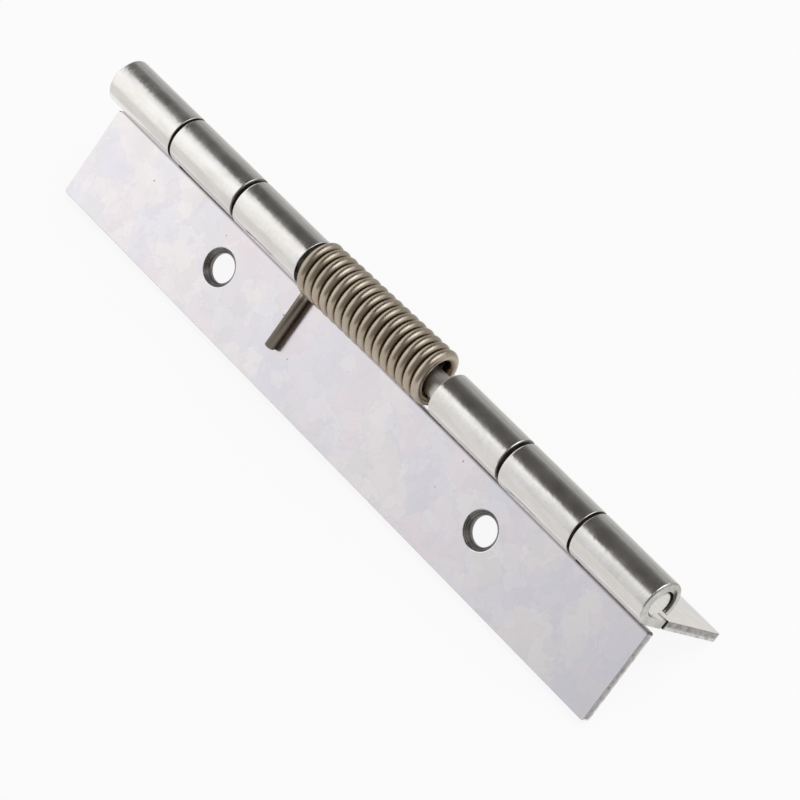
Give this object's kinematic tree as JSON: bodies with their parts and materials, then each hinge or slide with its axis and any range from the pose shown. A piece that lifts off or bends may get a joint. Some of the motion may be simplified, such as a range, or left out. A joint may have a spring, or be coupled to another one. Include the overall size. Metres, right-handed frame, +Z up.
{
  "type": "spring hinge",
  "caption": "Sheet-metal butt hinge with rolled knuckles, a plain pin and a coiled torsion spring that swings the two countersunk leaves back to their rest angle.",
  "frame": {"origin": "on the ground, midway along the pin and midway between the leaves' free edges", "axes": "+X along the pin, +Z up from the free edges to the pin, +Y towards the moving leaf"},
  "size_m": [0.15, 0.0302, 0.0272],
  "materials": {
    "leaf_steel": "smooth rolled sheet, soft sheen",
    "pin_steel": "drawn rod, satin",
    "spring_wire": "drawn spring wire, warm grey"
  },
  "bodies": {
    "fixed_leaf": {"fixed_leaf": "leaf_steel", "hinge_pin": "pin_steel", "torsion_spring": "spring_wire"},
    "moving_leaf": {"moving_leaf": "leaf_steel"}
  },
  "joints": [
    {"name": "leaf_swing", "type": "hinge", "parent": "fixed_leaf", "child": "moving_leaf", "pos_m": [0, 0, 0.02102], "axis": [1, 0, 0], "range_deg": [-10, 270], "stiffness_Nm_per_rad": 0.355, "deforming": ["torsion_spring"]}
  ]
}
